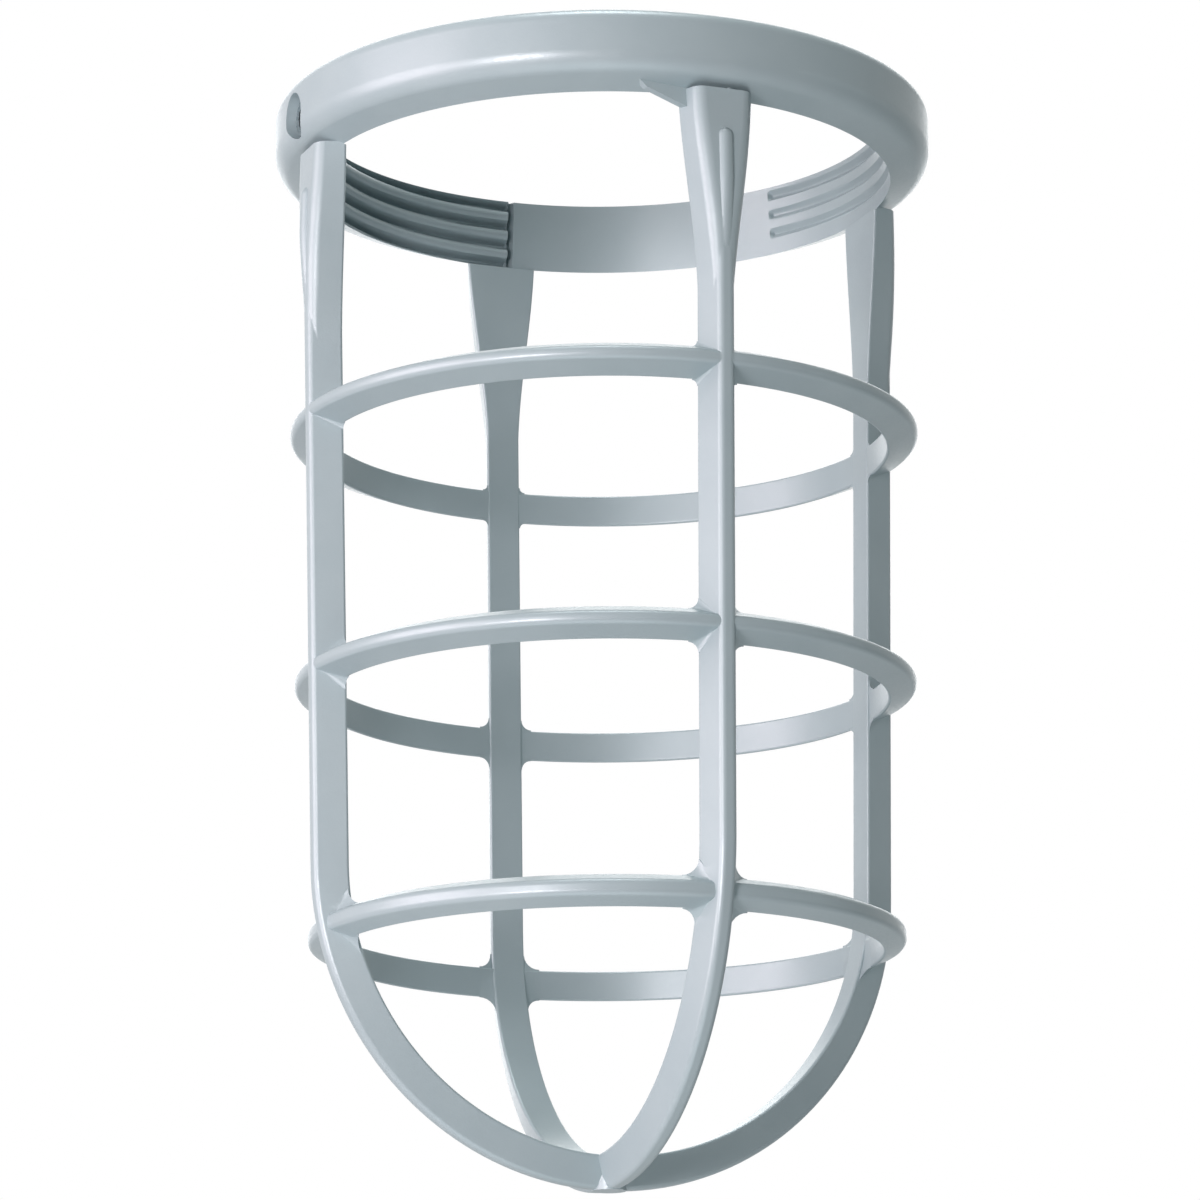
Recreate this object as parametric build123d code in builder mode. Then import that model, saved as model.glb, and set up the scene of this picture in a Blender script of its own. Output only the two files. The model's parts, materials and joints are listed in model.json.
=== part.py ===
# Guard for a lamp: a threaded collar that carries a domed cage of ribs and rings, cast in one piece,
# with a set screw that locks the collar. Millimetres. The origin is the centre of the collar's top
# rim, +Z points up into the fitting, and the cage hangs down along -Z.

import os
from math import acos, atan2, cos, degrees, hypot, radians, sin, sqrt, tan

from build123d import *

os.makedirs("parts", exist_ok=True)

# Collar; the bore radius is the crest of its thread
collar_outer_r = 58.75
bore_r = 50.8
collar_height = 12.85
rim_round = 2.2
skirt_slope = 20.0
skirt_round = 4.0
mouth_chamfer = 1.0

# Ribs and rings are tapered webs: wide flat inner face, narrow outer edge
rib_count = 4
first_rib_turn = 45.0
rib_setback = 0.1
web_inner_width = 6.6
web_outer_width = 3.1
web_depth = 5.5
edge_break = 0.75

# Rings, top to bottom: setback from the ribs' inner faces, depth, corner cut at the ribs' inner faces
first_ring_z = -59.8
ring_pitch = 45.35
ring_details = ((0.2, 5.5, 0.9), (0.45, 5.0, 1.8), (0.65, 4.0, 2.6))
outer_corner = 0.3
seat = 0.1

# Dome, where the ribs curve in and meet
dome_inner_r = 48.5
dome_above_last_ring = 10.9
hub_r = 3.0
hub_proud = 0.05

# Flares that widen each rib: distance below the collar, inner width, outer width, depth
flare_sections = ((-3.2, 14.1, 10.5, 6.0), (14.75, 10.4, 7.5, 5.3), (25.75, 7.7, 4.7, 5.0), (37.75, 6.5, 3.1, 4.7))

# Gate stub: a small web left by the mould's gate between one rib and the collar
stub_rib_turn = first_rib_turn - 90.0
stub_setback = 0.7
stub_thickness = 3.0
stub_start = 5.0
stub_length = 8.2
stub_drop = 3.0
stub_root = 2.5

# Set screw, in the collar over one rib
screw_turn = first_rib_turn + 180.0
screw_z = -6.5
screw_r = 4.0
screw_clearance = 0.03
screw_sink = 1.8
screw_tip_gap = 0.5
socket_across_flats = 4.0
socket_depth = 2.6
screw_chamfer = 0.6

# Lip at the foot of the bore
mouth_r = bore_r + mouth_chamfer

# Where the straight run of a rib touches the dome: the lean that makes both tangent
rib_top_inner_r = bore_r + rib_setback
rib_top_z = -collar_height + 4.0
dome_centre_z = first_ring_z - (len(ring_details) - 1) * ring_pitch + dome_above_last_ring
drop = -collar_height - dome_centre_z
rib_lean = degrees(acos(dome_inner_r / hypot(rib_top_inner_r, drop)) - atan2(drop, rib_top_inner_r))
touch_r = dome_inner_r * cos(radians(rib_lean))
touch_z = dome_centre_z - dome_inner_r * sin(radians(rib_lean))


def rib_plane(turn):
    """Upright plane through the axis, with x outward at this turn about the axis."""
    return Plane(
        origin=(0, 0, 0),
        x_dir=(cos(radians(turn)), sin(radians(turn)), 0),
        z_dir=(sin(radians(turn)), -cos(radians(turn)), 0),
    )


def inner_r(z):
    """Radius of the ribs' inner faces at a height, on the straight run or on the dome."""
    if z < touch_z:
        return sqrt(dome_inner_r**2 - (z - dome_centre_z) ** 2)
    return touch_r + (rib_top_inner_r - touch_r) * (z - touch_z) / (-collar_height - touch_z)


def web_face(depth):
    """Section of a rib or ring: flat inner face on y = 0, tapered flanks and a broken outer edge."""
    inner_half = web_inner_width / 2
    outer_half = web_outer_width / 2
    with BuildLine() as outline:
        Polyline(
            (-inner_half, 0),
            (inner_half, 0),
            (outer_half, depth - edge_break),
            (outer_half - edge_break, depth),
            (-(outer_half - edge_break), depth),
            (-outer_half, depth - edge_break),
            close=True,
        )
    make_face(outline.edges())


with BuildPart() as cast_guard:
    # Collar: a heavy ring with rounded corners, an underside that slopes up outward and a chamfered mouth
    with BuildSketch(Plane.XZ) as collar_profile:
        with BuildLine():
            Polyline(
                (bore_r, 0),
                (collar_outer_r, 0),
                (collar_outer_r, (collar_outer_r - mouth_r) * tan(radians(skirt_slope)) - collar_height),
                (mouth_r, -collar_height),
                (bore_r, -collar_height + mouth_chamfer),
                close=True,
            )
        make_face()
        outer_corners = collar_profile.vertices().group_by(Axis.X)[-1].sort_by(Axis.Y)
        fillet(outer_corners[-1], rim_round)
        fillet(outer_corners[0], skirt_round)
    revolve(axis=Axis.Z)

    # Ribs: each pair is one web that runs down, round the dome and up the other side
    for pair in range(rib_count // 2):
        turn = first_rib_turn + pair * 360 / rib_count
        plane = rib_plane(turn)
        with BuildLine(plane) as rib_path:
            Line((inner_r(rib_top_z), rib_top_z), (touch_r, touch_z))
            CenterArc((0, dome_centre_z), dome_inner_r, -rib_lean, -(180 - 2 * rib_lean))
            Line((-touch_r, touch_z), (-inner_r(rib_top_z), rib_top_z))
        with BuildSketch(Plane(origin=rib_path.line @ 0, x_dir=-plane.z_dir, z_dir=rib_path.line % 0)):
            web_face(web_depth)
        sweep(path=rib_path.line)

    # Hub: a small disc that braces the ribs where they cross at the foot of the dome
    with BuildSketch(Plane.XY.offset(dome_centre_z - dome_inner_r - web_depth - hub_proud)):
        Circle(hub_r)
    extrude(amount=web_depth - edge_break)

    # Rings: the same tapered web, turned on its side and revolved
    for number, (setback, depth, corner) in enumerate(ring_details):
        middle = first_ring_z - number * ring_pitch
        ring_inner_r = inner_r(middle) + setback
        with BuildSketch(Plane(origin=(ring_inner_r, 0, middle), x_dir=(0, 0, 1), z_dir=(0, 1, 0))):
            web_face(depth)
        revolve(axis=Axis.Z)

        # Crossings: a cross-shaped pad with cut-off corners braces each rib to the ring
        for rib in range(rib_count):
            outward = rib_plane(first_rib_turn + rib * 360 / rib_count).x_dir
            inner_end = (seat, web_inner_width, corner)
            outer_end = (depth - edge_break, web_outer_width, outer_corner)
            for reach, web_width, cut in (inner_end, outer_end):
                arm = web_width - 2 * seat
                pad_origin = outward * (ring_inner_r + reach) + Vector(0, 0, middle)
                with BuildSketch(Plane(origin=pad_origin, x_dir=(0, 0, 1), z_dir=outward)) as pad:
                    Rectangle(arm, arm + 2 * cut)
                    Rectangle(arm + 2 * cut, arm)
                    chamfer(pad.vertices().sort_by_distance((0, 0, 0))[:4], cut - seat)
            loft(ruled=True)

    # Flares: each rib widens into the underside of the collar, its outer edge standing out as a ridge
    for rib in range(rib_count):
        outward = rib_plane(first_rib_turn + rib * 360 / rib_count).x_dir
        for below, inner_width, outer_width, depth in flare_sections:
            height = -collar_height - below
            flare_origin = outward * inner_r(height) + Vector(0, 0, height)
            with BuildSketch(Plane(origin=flare_origin, x_dir=outward)) as flare:
                with BuildLine():
                    Polyline(
                        (0, -inner_width / 2),
                        (depth, -outer_width / 2),
                        (depth, outer_width / 2),
                        (0, inner_width / 2),
                        close=True,
                    )
                make_face()
                chamfer(flare.vertices().group_by(Axis.X)[-1], edge_break)
        loft()

    # Gate stub: a triangle that hangs from the collar beside one rib's flare
    stub_plane = rib_plane(stub_rib_turn)
    with BuildSketch(
        Plane(
            origin=stub_plane.x_dir * (rib_top_inner_r + stub_setback) + Vector(0, 0, -collar_height),
            x_dir=-stub_plane.z_dir,
            z_dir=stub_plane.x_dir,
        )
    ):
        with BuildLine():
            Polyline(
                (-stub_start, stub_root),
                (-stub_start, -stub_drop),
                (-stub_start - stub_length, 0),
                (-stub_start - stub_length, stub_root),
                close=True,
            )
        make_face()
    extrude(amount=stub_thickness)

    # Set screw hole: radial, clear through the collar wall
    screw_out = rib_plane(screw_turn).x_dir
    with BuildSketch(Plane(origin=(0, 0, screw_z), x_dir=(0, 0, 1), z_dir=screw_out)):
        Circle(screw_r + screw_clearance)
    extrude(amount=collar_outer_r + 1, mode=Mode.SUBTRACT)

cast_guard.part.label = "cast_guard"
export_step(cast_guard.part, "parts/cast_guard.step")

# Set screw: headless, with a hexagon socket, sunk a little below the collar's outer wall
with BuildPart() as set_screw:
    screw_inner = bore_r + screw_tip_gap
    screw_outer = collar_outer_r - screw_sink
    with BuildSketch(Plane(origin=screw_out * screw_inner + Vector(0, 0, screw_z), x_dir=(0, 0, 1), z_dir=screw_out)):
        Circle(screw_r)
    extrude(amount=screw_outer - screw_inner)
    chamfer(set_screw.edges().filter_by(GeomType.CIRCLE), screw_chamfer)
    with BuildSketch(Plane(origin=screw_out * screw_outer + Vector(0, 0, screw_z), x_dir=(0, 0, 1), z_dir=screw_out)):
        RegularPolygon(socket_across_flats / 2, 6, major_radius=False)
    extrude(amount=-socket_depth, mode=Mode.SUBTRACT)

set_screw.part.label = "set_screw"
export_step(set_screw.part, "parts/set_screw.step")
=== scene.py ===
from math import acos, atan2, cos, degrees, pi, radians, sin, sqrt, tan

import bmesh
import bpy
import numpy as np
from mathutils import Matrix, Vector
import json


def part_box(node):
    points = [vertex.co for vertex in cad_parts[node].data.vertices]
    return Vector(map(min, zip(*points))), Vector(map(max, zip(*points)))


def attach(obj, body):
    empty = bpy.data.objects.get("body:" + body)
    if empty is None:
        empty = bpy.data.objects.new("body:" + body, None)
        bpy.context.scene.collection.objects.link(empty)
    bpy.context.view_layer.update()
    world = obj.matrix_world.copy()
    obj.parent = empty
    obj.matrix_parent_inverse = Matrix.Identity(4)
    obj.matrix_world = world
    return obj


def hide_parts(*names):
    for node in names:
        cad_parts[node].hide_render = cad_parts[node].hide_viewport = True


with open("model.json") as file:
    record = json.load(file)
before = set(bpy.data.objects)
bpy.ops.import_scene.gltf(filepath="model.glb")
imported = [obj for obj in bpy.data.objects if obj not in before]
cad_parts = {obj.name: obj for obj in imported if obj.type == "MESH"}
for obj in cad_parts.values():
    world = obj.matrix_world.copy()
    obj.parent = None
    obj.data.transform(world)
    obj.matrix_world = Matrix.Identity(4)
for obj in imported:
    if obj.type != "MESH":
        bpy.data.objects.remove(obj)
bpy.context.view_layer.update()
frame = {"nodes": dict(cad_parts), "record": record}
MM = 0.001

# Camera: a long lens that stands a little below the guard and looks up at it, as for a fitting
# photographed on its ceiling.
camera_turn = 23.0
camera_distance = 886.5 * MM
camera_height = -305.6 * MM
camera_pitch = 13.707
camera_pan = 0.057
camera_roll = -0.364
lens_length = 155.06
sensor_width = 36.0
nearest_view = 0.01

camera = bpy.data.objects.new("camera", bpy.data.cameras.new("camera"))
bpy.context.scene.collection.objects.link(camera)
camera.data.lens = lens_length
camera.data.sensor_width = sensor_width
camera.data.clip_start = nearest_view
camera_stand = Matrix.Rotation(radians(camera_turn), 4, "Z") @ Vector((0, -camera_distance, camera_height))
camera.matrix_world = (
    Matrix.Translation(camera_stand)
    @ Matrix.Rotation(radians(camera_turn + camera_pan), 4, "Z")
    @ Matrix.Rotation(radians(90 + camera_pitch), 4, "X")
    @ Matrix.Rotation(radians(camera_roll), 4, "Z")
)
bpy.context.scene.camera = camera
bpy.context.scene.view_settings.view_transform = "Standard"


# Guard: collar, ribs, rings and flares are one aluminium casting. Its webs have flat inner faces, drafted
# flanks and round outer edges, so that they leave the mould. Each stretch of it is made below as a closed
# solid in millimetres, and all are joined into one skin before the bore's thread is cut.
added = []


def at(turn, reach, height, aside=0.0):
    """A point at a turn about the axis and a distance from it, moved sideways by a tangent length."""
    way = radians(turn)
    return Vector((reach * cos(way) - aside * sin(way), reach * sin(way) + aside * cos(way), height))


def rounded(corners, radii, steps=9):
    """A closed outline through these corners, each turned into an arc of its own radius."""
    outline = []
    for number, radius in enumerate(radii):
        corner = Vector(corners[number])
        back = (Vector(corners[number - 1]) - corner).normalized()
        on = (Vector(corners[(number + 1) % len(corners)]) - corner).normalized()
        half = back.angle(on) / 2
        centre = corner + (back + on).normalized() * radius / sin(half)
        first = corner + back * radius / tan(half) - centre
        last = corner + on * radius / tan(half) - centre
        outline += [centre + first.slerp(last, step / steps) * radius for step in range(steps + 1)]
    return outline


def skin(name, sections, ring=False):
    """A solid skinned over sections of as many points each, in millimetres; a ring runs on into its start."""
    count = len(sections[0])
    faces = []
    for number in range(len(sections) - (not ring)):
        here = number * count
        there = (number + 1) % len(sections) * count
        for i in range(count):
            following = (i + 1) % count
            faces.append((here + i, here + following, there + following, there + i))
    if not ring:
        last_section = len(sections) * count - count
        faces += [tuple(range(count)), tuple(range(last_section, last_section + count))]
    mesh = bpy.data.meshes.new(name)
    mesh.from_pydata([Vector(p) * MM for section in sections for p in section], [], faces)
    sides = bmesh.new()
    sides.from_mesh(mesh)
    bmesh.ops.recalc_face_normals(sides, faces=sides.faces)
    sides.to_mesh(mesh)
    sides.free()
    solid = bpy.data.objects.new(name, mesh)
    bpy.context.scene.collection.objects.link(solid)
    return solid


# Collar: a heavy ring with rounded corners and an underside that slopes up outward. Its bore is left
# smaller here than the thread's cutter, which opens it.
collar_thread = frame["record"]["mounts"][0]
bore_r = collar_thread["dims"]["r_mm"]
bore_stock = 0.8
bore_corner_round = 0.1
collar_outer_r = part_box("cast_guard")[1].x / MM
collar_height = 12.85
rim_round = 2.2
skirt_slope = 20.0
skirt_round = 4.0
mouth_chamfer = 1.0
mouth_round = 0.05

mouth_r = bore_r + mouth_chamfer
corner_z = (collar_outer_r - mouth_r) * tan(radians(skirt_slope)) - collar_height
collar_profile = rounded(
    [
        (bore_r - bore_stock, 0),
        (collar_outer_r, 0),
        (collar_outer_r, corner_z),
        (mouth_r, -collar_height),
        (bore_r - bore_stock, -collar_height),
    ],
    (bore_corner_round, rim_round, skirt_round, mouth_round, bore_corner_round),
)
guard = skin("guard_skin", [[at(turn, p.x, p.y) for p in collar_profile] for turn in range(360)], ring=True)


# Ribs: each opposite pair is one tapered web that starts inside its flares, runs down, round the dome and
# up again. A small hub braces the pairs where they cross.
web_inner_half = 3.3
web_outer_half = 1.27
inner_round = 0.4
outer_round = 1.2
rib_turns = (45.0, 135.0, 225.0, 315.0)
rib_depth = 5.75
rib_setback = 0.1
rib_start_below = 12.0
dome_inner_r = 48.5
dome_centre_z = -139.6
dome_sections = 90
hub_r = 3.0
hub_height = 4.5
hub_proud = 0.05

# Where the straight run of a rib touches the dome: the lean that makes both tangent
rib_top_inner_r = bore_r + rib_setback
rib_top_z = -collar_height - rib_start_below
drop = -collar_height - dome_centre_z
rib_lean = acos(dome_inner_r / sqrt(rib_top_inner_r**2 + drop**2)) - atan2(drop, rib_top_inner_r)
touch_r = dome_inner_r * cos(rib_lean)
touch_z = dome_centre_z - dome_inner_r * sin(rib_lean)


def web(depth, inner_half=web_inner_half, outer_half=web_outer_half, edge_round=outer_round):
    """Section of a rib, ring or flare, as points (along the wall, out from it)."""
    corners = [(-inner_half, 0), (inner_half, 0), (outer_half, depth), (-outer_half, depth)]
    return rounded(corners, (inner_round, inner_round, edge_round, edge_round))


def inner_r(height):
    """Distance from the axis to the ribs' inner faces, on the straight run or on the dome."""
    if height < touch_z:
        return sqrt(dome_inner_r**2 - (height - dome_centre_z) ** 2)
    return touch_r + tan(rib_lean) * (height - touch_z)


profile = web(rib_depth)
for turn in rib_turns[:2]:
    feet = [(inner_r(rib_top_z), rib_top_z, -rib_lean)]
    for lean in np.linspace(-rib_lean, rib_lean - pi, dome_sections):
        feet.append((dome_inner_r * cos(lean), dome_centre_z + dome_inner_r * sin(lean), lean))
    feet.append((-inner_r(rib_top_z), rib_top_z, rib_lean - pi))
    sections = []
    for reach, height, lean in feet:
        outline = [(reach + out * cos(lean), height + out * sin(lean), along) for along, out in profile]
        sections.append([at(turn, *point) for point in outline])
    added.append(skin("rib_pair", sections))

hub_foot = dome_centre_z - dome_inner_r - rib_depth - hub_proud
hub_faces = [[at(turn, hub_r, hub_foot + rise) for turn in range(0, 360, 10)] for rise in (0, hub_height)]
added.append(skin("hub", hub_faces))


# Rings: the same tapered web, turned on its side. Where each crosses a rib, a pad with rounded inner
# corners braces them. Top to bottom: height, setback from the ribs' inner faces, depth, round of the
# crossing's corners, half of the inner width and half of the outer width.
ring_details = (
    (-60.0, 0.2, 5.5, 0.9, 3.05, 0.95),
    (-105.4, 0.45, 5.0, 1.8, 2.95, 0.95),
    (-150.35, 0.65, 4.0, 2.6, 2.9, 1.2),
)
ring_step = 1.5
crossing_seat = 0.06
crossing_end = 0.75
crossing_end_swell = 0.28
crossing_end_round = 0.1
crossing_corners = ((1, 1, 270), (-1, 1, 0), (-1, -1, 90), (1, -1, 180))
corner_steps = 6


def cross(centre, cut):
    """Outline of a crossing's pad, as points (across, up): arcs of this cut about the corners' centres."""
    outline = []
    for x_way, y_way, start in crossing_corners:
        for step in range(corner_steps + 1):
            swing = radians(start - 90 / corner_steps * step)
            across = x_way * centre.x + cut * cos(swing)
            up = y_way * centre.y + cut * sin(swing)
            outline.append(Vector((across, up)))
    return outline


for height, setback, depth, corner, inner_half, outer_half in ring_details:
    ring_r = inner_r(height) + setback
    profile = web(depth, inner_half, outer_half)
    turns = np.arange(0, 360, ring_step)
    sections = [[at(turn, ring_r + out, height + along) for along, out in profile] for turn in turns]
    added.append(skin("ring", sections, ring=True))
    inner_end = (crossing_seat, web_inner_half, inner_half, corner)
    end_halves = (web_outer_half + crossing_end_swell, outer_half + crossing_end_swell)
    outer_end = (depth - crossing_end, *end_halves, crossing_end_round)
    for turn in rib_turns:
        sections = []
        for out, wide, high, cut in (inner_end, outer_end):
            centre = Vector((wide, high)) + Vector((cut - crossing_seat, cut - crossing_seat))
            section = []
            for across, up in cross(centre, cut):
                # The pad's arms lie on the ring, and its middle follows the rib round the dome
                follow = min(max((centre.x - abs(across)) / cut, 0), 1)
                reach = ring_r + follow * (inner_r(height + up) + setback - ring_r) + out
                section.append(at(turn + degrees(across / ring_r), reach, height + up))
            sections.append(section)
        added.append(skin("crossing", sections))


# Flares: every rib widens into the underside of the collar. On each flare's outer face stands a teardrop
# bead, which tapers down into the rib's edge. Widths and depths are given at these distances below the
# collar.
flare_below = (-0.4, 14.75, 25.75, 37.75)
flare_inner_widths = (13.6, 10.4, 7.7, 6.5)
flare_outer_widths = (10.0, 7.5, 4.7, 2.8)
flare_depths = (5.1, 5.85, 5.85, 4.7)
flare_round = 2.4
flare_sections = 24
flare_root = 3.0
flare_root_depth = 3.0
flare_shoulder = 0.1
bead_r = 1.5
bead_start = 6.5
bead_proud = 0.75
bead_nose = 2.0
bead_flat = 9.0
bead_length = 22.0
bead_sections = 20


def flare_size(values, below):
    """A width or depth of the flare at a distance below the collar, on a cubic through its values."""
    return np.polyval(np.polyfit(flare_below, values, 3), below)


root_steps = [-flare_root, flare_below[0] - flare_shoulder]
flare_steps = np.concatenate([root_steps, np.linspace(flare_below[0], flare_below[-1], flare_sections)])
nose_steps = [bead_r * (1 - cos(radians(a))) for a in range(6, 91, 7)]
bead_steps = nose_steps + list(np.linspace(bead_nose, bead_length, bead_sections))
bead_ways = [radians(a) for a in range(0, 360, 10)]
for turn in rib_turns:
    sections = []
    for below in flare_steps:
        size_at = max(below, flare_below[0])
        inner_half = flare_size(flare_inner_widths, size_at) / 2
        outer_half = flare_size(flare_outer_widths, size_at) / 2
        depth = flare_size(flare_depths, size_at) if below >= flare_below[0] else flare_root_depth
        height = -collar_height - below
        outline = web(depth, inner_half, outer_half, min(flare_round, outer_half))
        sections.append([at(turn, inner_r(height) + out, height, along) for along, out in outline])
    added.append(skin("flare", sections))
    sections = []
    for along in bead_steps:
        nose = sqrt(max(1 - (1 - min(along / bead_r, 1)) ** 2, 0))
        sink = bead_proud * max(along - bead_flat, 0) / (bead_length - bead_flat)
        height = -collar_height - bead_start - along
        face = flare_size(flare_depths, bead_start + along)
        centre = inner_r(height) + face + bead_proud - sink - bead_r
        outline = [(centre + bead_r * nose * cos(w), height, bead_r * nose * sin(w)) for w in bead_ways]
        sections.append([at(turn, *point) for point in outline])
    added.append(skin("bead", sections))


# Gate stub: a small web that the mould's gate left between one rib and the collar. Its corners are places
# along the collar from the rib's middle, and above the collar's foot. A tiny nub of metal stands by the
# same rib's flare.
stub_turn = 315.0
stub_corners = ((-5.0, 2.5), (-5.0, -3.0), (-13.2, 0.0), (-16.0, 2.5))
stub_rounds = (0.2, 0.3, 1.0, 0.2)
stub_reaches = (bore_r + 0.8, bore_r + 2.4)
nub_turn = 316.0
nub_reach = 55.6
nub_z = -12.6
nub_r = 0.5

stub = rounded(stub_corners, stub_rounds)
stub_sides = [[at(stub_turn, reach, p.y - collar_height, p.x) for p in stub] for reach in stub_reaches]
added.append(skin("gate_stub", stub_sides))

nub_ways = [radians(a) for a in range(0, 360, 30)]
sections = []
for tilt in [radians(a) for a in range(-85, 86, 17)]:
    level = nub_z + nub_r * sin(tilt)
    outline = [(nub_reach + nub_r * cos(tilt) * cos(w), level, nub_r * cos(tilt) * sin(w)) for w in nub_ways]
    sections.append([at(nub_turn, *point) for point in outline])
added.append(skin("nub", sections))


# Thread: right hand, cut in two spans of the collar's wall with plain wall between them. The deep span's
# crests rise a little, and its ends have a relief. The cutter goes just past the lip, so that no sliver
# is left. Spans: first turn, last turn, depth of the roots, rise of the crests, relief, grooves.
thread_pitch = 3.63
thread_start_turn = 133.0
thread_start_z = -1.0
threaded_spans = ((thread_start_turn, 255.4, 2.2, 0.4, 1.0, 4), (312.9, 435.4, 0.9, 0.0, 0.0, 4))
span_margin = 5.0
tip_width = 0.7
tip_fade = 0.6
tip_step = 0.15
cutter_core_r = bore_r - 6
cutter_above = 1.0
cutter_top = 0.1
cutter_levels = 52
cutter_below = 0.15


def bore_reach(turn, height):
    """Distances from the axis to the bore's wall, a little wider at the mouth, with its thread."""
    wall = bore_r - (mouth_r - bore_r) * np.minimum(height, 0) / collar_height
    for first, last, root, rise, relief, grooves in threaded_spans:
        along = (turn - first + span_margin) % 360.0 + first - span_margin
        from_ends = min(along - first, last - along)
        helix = thread_start_z + thread_pitch * (along - thread_start_turn) / 360.0
        steps_down = (helix - height) / thread_pitch
        wave = np.cos(2 * pi * steps_down)
        inside = min(max(from_ends / tip_fade, 0), 1)
        moat = min(max((from_ends + tip_width) / tip_fade, 0), 1) * relief
        ridge = np.clip(-wave, 0, 1) * (steps_down < grooves - 1) * inside
        groove = np.maximum(np.clip(wave, 0, 1) * inside, (1 - inside) * moat)
        groove *= np.clip((grooves - 0.5 - steps_down) * 2, 0, 1) * np.clip((steps_down + 0.5) * 2, 0, 1)
        wall = wall + root * groove - rise * ridge
    return wall


wall_levels = np.linspace(-cutter_top, -collar_height, cutter_levels)
levels = np.concatenate([[cutter_above, 0.0], wall_levels, [-collar_height - cutter_below]])
columns = list(np.arange(0, 360, 1.0))
for end in [turn for span in threaded_spans for turn in span[:2]]:
    columns += [(end + step * tip_step) % 360 for step in range(-8, 9)]
sections = []
for turn in sorted(set(np.round(columns, 3))):
    wall = list(zip(bore_reach(turn, levels), levels))
    core = [(cutter_core_r, cutter_above), *wall, (cutter_core_r, levels[-1])]
    sections.append([at(turn, reach, level) for reach, level in core])
bore = skin("threaded_bore", sections, ring=True)


# Set screw hole: radial, clear through the collar over one rib. Its cutter passes both sides of the wall.
screw_turn = 225.0
screw_z = -6.5
hole_r = 4.03
hole_reaches = (bore_r - 3, collar_outer_r + 2)

hole_ways = [radians(a) for a in range(0, 360, 5)]
hole_ends = [
    [at(screw_turn, reach, screw_z + hole_r * sin(w), hole_r * cos(w)) for w in hole_ways]
    for reach in hole_reaches
]
hole = skin("screw_hole", hole_ends)


# One skin: every stretch is joined to the collar, then the bore and the hole are cut. Faces that meet at
# less than this angle are shaded as one, and the broad faces stay flat.
smooth_below = 32

cutters = [bore, hole]
for solid in added + cutters:
    join = guard.modifiers.new("join", "BOOLEAN")
    join.object = solid
    join.operation = "DIFFERENCE" if solid in cutters else "UNION"
    join.solver = "MANIFOLD"
joined = guard.evaluated_get(bpy.context.evaluated_depsgraph_get())
guard.data = bpy.data.meshes.new_from_object(joined)
guard.modifiers.clear()
for solid in added + cutters:
    bpy.data.objects.remove(solid)
guard.data.shade_smooth()
guard.data.set_sharp_from_angle(angle=radians(smooth_below))
flat_faces = guard.modifiers.new("flat_faces", "WEIGHTED_NORMAL")
flat_faces.keep_sharp = True


def linear(code):
    """Linear colour from an sRGB hex value such as #8a9b9f."""
    parts = [int(code[i:i + 2], 16) / 255 for i in (1, 3, 5)]
    return [c / 12.92 if c <= 0.04045 else ((c + 0.055) / 1.055) ** 2.4 for c in parts] + [1.0]


def add_node(tree, kind, settings, links):
    """Adds a node, sets its properties and inputs, and links outputs of other nodes to its inputs."""
    node = tree.nodes.new(kind)
    for key, value in settings.items():
        if isinstance(key, str) and hasattr(node, key):
            setattr(node, key, value)
        else:
            node.inputs[key].default_value = value
    for key, source in links.items():
        tree.links.new(source, node.inputs[key])
    return node


# Satin cast aluminium, blasted fine and sealed with a clear coat of lacquer: a silver-grey, faintly
# blue-green surface that scatters most of the light, as paint does, and mirrors only a little of it. A
# faint mottle and a fine grain break up its broad, milky highlights.
aluminium_colour = "#97abb0"
aluminium_pale = "#a0b3b7"
metal_share = 0.12
satin_smooth = 0.3
satin_rough = 0.42
mottle_mm = 9.0
grain_mm = 0.5
grain_depth_mm = 0.05
grain_strength = 0.25

aluminium = bpy.data.materials.new("satin_cast_aluminium")
aluminium.use_nodes = True
tree = aluminium.node_tree
surface = tree.nodes["Principled BSDF"]
place = add_node(tree, "ShaderNodeTexCoord", {}, {}).outputs["Object"]
mottle_scale = {"Scale": 1 / (mottle_mm * MM), "Detail": 3.0}
mottle = add_node(tree, "ShaderNodeTexNoise", mottle_scale, {"Vector": place})
grain_scale = {"Scale": 1 / (grain_mm * MM), "Detail": 2.0}
grain = add_node(tree, "ShaderNodeTexNoise", grain_scale, {"Vector": place})
tint = add_node(
    tree,
    "ShaderNodeMix",
    {"data_type": "RGBA", 6: linear(aluminium_colour), 7: linear(aluminium_pale)},
    {"Factor": mottle.outputs["Fac"]},
)
satin = add_node(
    tree,
    "ShaderNodeMapRange",
    {"From Min": 0.3, "From Max": 0.7, "To Min": satin_smooth, "To Max": satin_rough},
    {"Value": grain.outputs["Fac"]},
)
bump = add_node(
    tree,
    "ShaderNodeBump",
    {"Strength": grain_strength, "Distance": grain_depth_mm * MM},
    {"Height": grain.outputs["Fac"]},
)
tree.links.new(tint.outputs[2], surface.inputs["Base Color"])
tree.links.new(satin.outputs["Result"], surface.inputs["Roughness"])
tree.links.new(bump.outputs["Normal"], surface.inputs["Normal"])
surface.inputs["Metallic"].default_value = metal_share

guard.data.materials.clear()
guard.data.materials.append(aluminium)
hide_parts("cast_guard")
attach(guard, "root")


# Set screw: a headless steel screw with a hexagon socket, turned in until it is just clear of the bore.
# Its bright zinc plating gives a pale, hard shine, clouded a little.
zinc_colour = "#a6b1b5"
zinc_pale = "#bcc5c8"
zinc_smooth = 0.22
zinc_rough = 0.36
zinc_cloud_mm = 0.8

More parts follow.
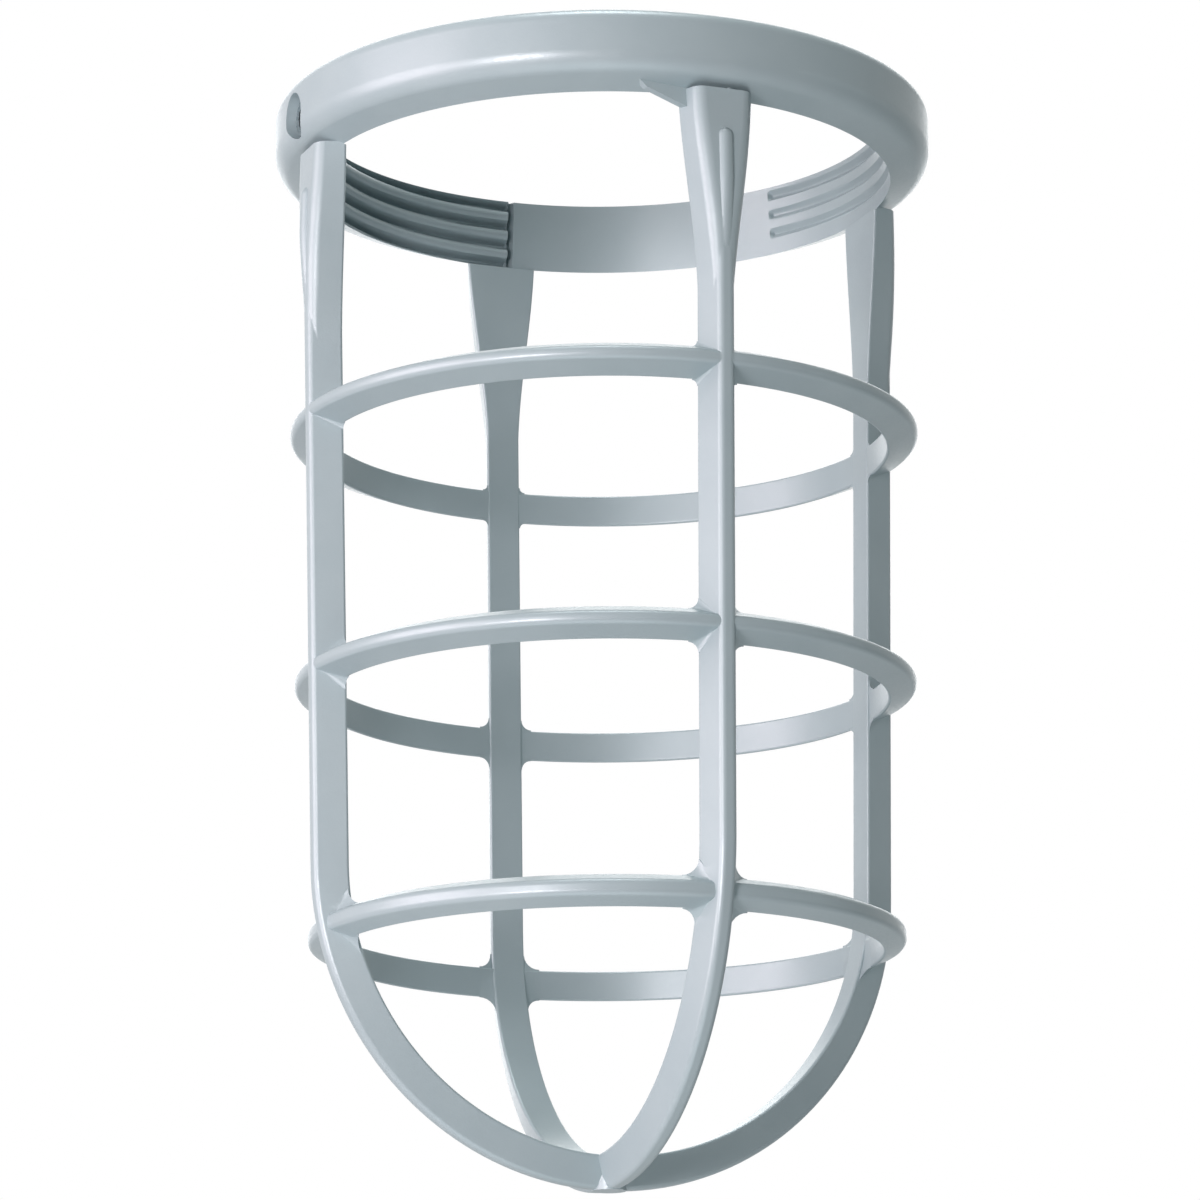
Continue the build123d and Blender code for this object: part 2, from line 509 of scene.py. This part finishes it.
steel = bpy.data.materials.new("zinc_plated_steel")
steel.use_nodes = True
tree = steel.node_tree
surface = tree.nodes["Principled BSDF"]
place = add_node(tree, "ShaderNodeTexCoord", {}, {}).outputs["Object"]
plating_scale = {"Scale": 1 / (zinc_cloud_mm * MM), "Detail": 4.0}
plating = add_node(tree, "ShaderNodeTexNoise", plating_scale, {"Vector": place})
shade = add_node(
    tree,
    "ShaderNodeMix",
    {"data_type": "RGBA", 6: linear(zinc_colour), 7: linear(zinc_pale)},
    {"Factor": plating.outputs["Fac"]},
)
sheen = add_node(
    tree,
    "ShaderNodeMapRange",
    {"From Min": 0.3, "From Max": 0.7, "To Min": zinc_smooth, "To Max": zinc_rough},
    {"Value": plating.outputs["Fac"]},
)
tree.links.new(shade.outputs[2], surface.inputs["Base Color"])
tree.links.new(sheen.outputs["Result"], surface.inputs["Roughness"])
surface.inputs["Metallic"].default_value = 1.0
screw = frame["nodes"]["set_screw"]
screw.data.materials.clear()
screw.data.materials.append(steel)


# Studio: a wide sheet of pale paper far below the hung guard, in a white surround, lit by soft boxes. The
# paper and the surround look bright to the camera and in reflections, but throw little light themselves,
# so that the guard's undersides keep their shade.
floor_depth = 1.2
floor_size = 40.0
paper_colour = "#e8e8e8"
paper_roughness = 0.9
paper_glow = 0.5
surround_light = 0.08
surround_seen = 1.0
white = (1.0, 1.0, 1.0, 1.0)
guard_middle = Vector((0, 0, -96.5 * MM))


def seen_strength(tree, unseen, seen):
    """A strength that is one value where the camera or a reflection sees it, and another as light."""
    ways = add_node(tree, "ShaderNodeLightPath", {}, {})
    camera_or_mirror = add_node(
        tree,
        "ShaderNodeMath",
        {"operation": "MAXIMUM"},
        {0: ways.outputs["Is Camera Ray"], 1: ways.outputs["Is Glossy Ray"]},
    )
    any_view = add_node(
        tree,
        "ShaderNodeMath",
        {"operation": "MAXIMUM"},
        {0: camera_or_mirror.outputs[0], 1: ways.outputs["Is Transmission Ray"]},
    )
    range_ends = {"To Min": unseen, "To Max": seen}
    strength = add_node(tree, "ShaderNodeMapRange", range_ends, {"Value": any_view.outputs[0]})
    return strength.outputs["Result"]


def soft_box(name, turn, height, distance, size, power, tint):
    """A square area lamp at a turn from the camera's side and an angle of height, aimed at the guard."""
    lamp = bpy.data.objects.new(name, bpy.data.lights.new(name, "AREA"))
    lamp.data.size = size
    lamp.data.energy = power
    lamp.data.color = linear(tint)[:3]
    bpy.context.scene.collection.objects.link(lamp)
    away = Matrix.Rotation(radians(camera_turn + turn), 4, "Z") @ Matrix.Rotation(radians(-height), 4, "X")
    stand = Matrix.Translation(guard_middle + away @ Vector((0, -distance, 0)))
    lamp.matrix_world = stand @ away @ Matrix.Rotation(radians(90), 4, "X")


floor_mesh = bpy.data.meshes.new("floor")
half_floor = floor_size / 2
corners = [(x * half_floor, y * half_floor, -floor_depth) for x, y in ((-1, -1), (1, -1), (1, 1), (-1, 1))]
floor_mesh.from_pydata(corners, [], [(0, 1, 2, 3)])
floor = bpy.data.objects.new("floor", floor_mesh)
bpy.context.scene.collection.objects.link(floor)
paper = bpy.data.materials.new("pale_paper")
paper.use_nodes = True
surface = paper.node_tree.nodes["Principled BSDF"]
surface.inputs["Base Color"].default_value = linear(paper_colour)
surface.inputs["Roughness"].default_value = paper_roughness
surface.inputs["Emission Color"].default_value = white
glow = seen_strength(paper.node_tree, 0.0, paper_glow)
paper.node_tree.links.new(glow, surface.inputs["Emission Strength"])
floor.data.materials.append(paper)

world = bpy.data.worlds.new("studio")
world.use_nodes = True
background = world.node_tree.nodes["Background"]
background.inputs["Color"].default_value = white
surround = seen_strength(world.node_tree, surround_light, surround_seen)
world.node_tree.links.new(surround, background.inputs["Strength"])
bpy.context.scene.world = world

# Soft boxes: turn, height, distance, size, power and tint
soft_box("key", -68, 2, 1.3, 0.9, 14, "#ffe6ea")
soft_box("strip", -28, -4, 1.6, 0.45, 19, "#ffeef0")
soft_box("bounce", 0, -65, 1.05, 0.7, 1.5, "#eefbff")
soft_box("fill", 85, 5, 1.8, 1.0, 1, "#f2fbff")
soft_box("back", 180, 25, 1.6, 1.4, 11, "#ffffff")
soft_box("top", 0, 85, 1.4, 0.5, 9, "#ffffff")
